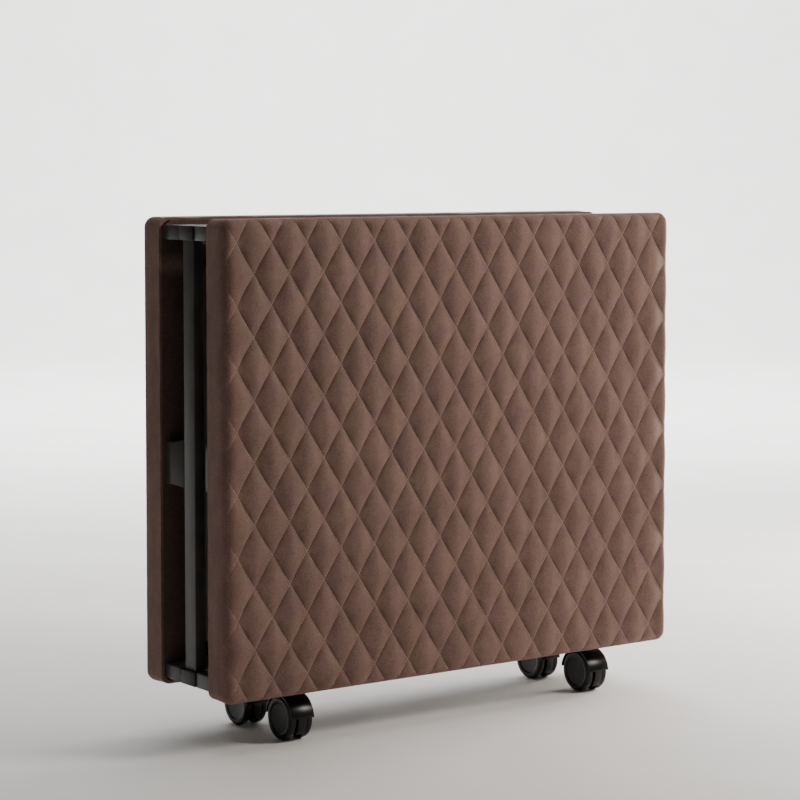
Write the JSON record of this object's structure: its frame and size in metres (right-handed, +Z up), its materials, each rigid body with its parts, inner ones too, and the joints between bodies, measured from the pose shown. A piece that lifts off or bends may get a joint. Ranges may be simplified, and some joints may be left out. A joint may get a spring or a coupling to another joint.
{
  "type": "rollaway folding bed",
  "caption": "Rollaway bed folded in half on casters: two quilted cushions outward, steel frames and folding legs between them.",
  "frame": {"origin": "middle of the footprint, on the floor", "axes": "+X along the folded bed towards the hinge, -Y out of the front cushion, +Z up"},
  "size_m": [0.994, 0.268, 0.89],
  "materials": {
    "quilted_leathercloth": "matte",
    "powder_coated_steel": "satin",
    "zinc_plated_steel": "satin",
    "black_nylon": "gloss",
    "black_moulded_plastic": "matte",
    "cloth_wrapped_board": "matte"
  },
  "bodies": {
    "centre_leg": {"centre_leg_tubes": "powder_coated_steel", "centre_foot_bar": "powder_coated_steel", "centre_feet": "black_moulded_plastic", "centre_rod_pins": "zinc_plated_steel", "hinge_pins": "zinc_plated_steel", "hinge_sleeves": "zinc_plated_steel"},
    "front_half": {"front_cushion": "quilted_leathercloth", "front_board": "cloth_wrapped_board", "front_lower_rail": "powder_coated_steel", "front_upper_rail": "powder_coated_steel", "front_end_tube": "powder_coated_steel", "front_middle_tube": "powder_coated_steel", "front_hinge_tube": "powder_coated_steel", "front_rail_plugs": "black_moulded_plastic", "front_hinge_plates": "powder_coated_steel", "front_leg_brackets": "powder_coated_steel", "front_grip": "powder_coated_steel", "front_bolts": "zinc_plated_steel", "front_pivot_pins": "zinc_plated_steel", "front_left_plate": "zinc_plated_steel", "front_right_plate": "zinc_plated_steel"},
    "rear_half": {"rear_cushion": "quilted_leathercloth", "rear_board": "cloth_wrapped_board", "rear_lower_rail": "powder_coated_steel", "rear_upper_rail": "powder_coated_steel", "rear_end_tube": "powder_coated_steel", "rear_middle_tube": "powder_coated_steel", "rear_hinge_tube": "powder_coated_steel", "rear_rail_plugs": "black_moulded_plastic", "rear_hinge_plates": "powder_coated_steel", "rear_leg_brackets": "powder_coated_steel", "rear_grip": "powder_coated_steel", "rear_bolts": "zinc_plated_steel", "rear_pivot_pins": "zinc_plated_steel", "rear_left_plate": "zinc_plated_steel", "rear_right_plate": "zinc_plated_steel"},
    "front_leg": {"front_leg_tubes": "powder_coated_steel", "front_foot_bar": "powder_coated_steel", "front_feet": "black_moulded_plastic", "front_rod_pins": "zinc_plated_steel"},
    "rear_leg": {"rear_leg_tubes": "powder_coated_steel", "rear_foot_bar": "powder_coated_steel", "rear_feet": "black_moulded_plastic", "rear_rod_pins": "zinc_plated_steel"},
    "front_rods": {"front_tie_rods": "powder_coated_steel"},
    "rear_rods": {"rear_tie_rods": "powder_coated_steel"},
    "front_left_caster": {"front_left_fork": "black_nylon", "front_left_axle": "zinc_plated_steel"},
    "front_left_wheel_pair": {"front_left_wheels": "black_nylon"},
    "front_right_caster": {"front_right_fork": "black_nylon", "front_right_axle": "zinc_plated_steel"},
    "front_right_wheel_pair": {"front_right_wheels": "black_nylon"},
    "rear_left_caster": {"rear_left_fork": "black_nylon", "rear_left_axle": "zinc_plated_steel"},
    "rear_left_wheel_pair": {"rear_left_wheels": "black_nylon"},
    "rear_right_caster": {"rear_right_fork": "black_nylon", "rear_right_axle": "zinc_plated_steel"},
    "rear_right_wheel_pair": {"rear_right_wheels": "black_nylon"}
  },
  "joints": [
    {"name": "front_fold", "type": "hinge", "parent": "centre_leg", "child": "front_half", "pos_m": [0.479, 0, 0.49], "axis": [0, 0, 1], "range_deg": [0, 90]},
    {"name": "front_leg_pivot", "type": "hinge", "parent": "front_half", "child": "front_leg", "pos_m": [-0.203, 0, 0.49], "axis": [0, 0, 1], "range_deg": [-90, 0]},
    {"name": "front_rod_pivot", "type": "hinge", "parent": "centre_leg", "child": "front_rods", "pos_m": [0.409, -0.01, 0.49], "axis": [0, 0, 1], "range_deg": [0, 90]},
    {"name": "front_left_swivel", "type": "hinge", "parent": "front_half", "child": "front_left_caster", "pos_m": [-0.332, -0.0575, 0.085], "axis": [0, 0, 1], "continuous": true},
    {"name": "front_left_roll", "type": "hinge", "parent": "front_left_caster", "child": "front_left_wheel_pair", "pos_m": [-0.332, -0.0705, 0.0375], "axis": [1, 0, 0], "continuous": true},
    {"name": "front_right_swivel", "type": "hinge", "parent": "front_half", "child": "front_right_caster", "pos_m": [0.33, -0.0575, 0.085], "axis": [0, 0, 1], "continuous": true},
    {"name": "front_right_roll", "type": "hinge", "parent": "front_right_caster", "child": "front_right_wheel_pair", "pos_m": [0.33, -0.0705, 0.0375], "axis": [1, 0, 0], "continuous": true},
    {"name": "rear_fold", "type": "hinge", "parent": "centre_leg", "child": "rear_half", "pos_m": [0.479, 0, 0.49], "axis": [0, 0, -1], "range_deg": [0, 90]},
    {"name": "rear_leg_pivot", "type": "hinge", "parent": "rear_half", "child": "rear_leg", "pos_m": [-0.167, 0, 0.49], "axis": [0, 0, -1], "range_deg": [-90, 0]},
    {"name": "rear_rod_pivot", "type": "hinge", "parent": "centre_leg", "child": "rear_rods", "pos_m": [0.409, 0.01, 0.49], "axis": [0, 0, -1], "range_deg": [0, 90]},
    {"name": "rear_left_swivel", "type": "hinge", "parent": "rear_half", "child": "rear_left_caster", "pos_m": [-0.332, 0.0575, 0.085], "axis": [0, 0, 1], "continuous": true},
    {"name": "rear_left_roll", "type": "hinge", "parent": "rear_left_caster", "child": "rear_left_wheel_pair", "pos_m": [-0.332, 0.0705, 0.0375], "axis": [1, 0, 0], "continuous": true},
    {"name": "rear_right_swivel", "type": "hinge", "parent": "rear_half", "child": "rear_right_caster", "pos_m": [0.33, 0.0575, 0.085], "axis": [0, 0, 1], "continuous": true},
    {"name": "rear_right_roll", "type": "hinge", "parent": "rear_right_caster", "child": "rear_right_wheel_pair", "pos_m": [0.33, 0.0705, 0.0375], "axis": [1, 0, 0], "continuous": true}
  ],
  "couplings": [
    {"joint": "front_leg_pivot", "follows": "front_fold", "ratio": -1},
    {"joint": "front_rod_pivot", "follows": "front_fold", "ratio": 1},
    {"joint": "rear_leg_pivot", "follows": "rear_fold", "ratio": -1},
    {"joint": "rear_rod_pivot", "follows": "rear_fold", "ratio": 1}
  ]
}
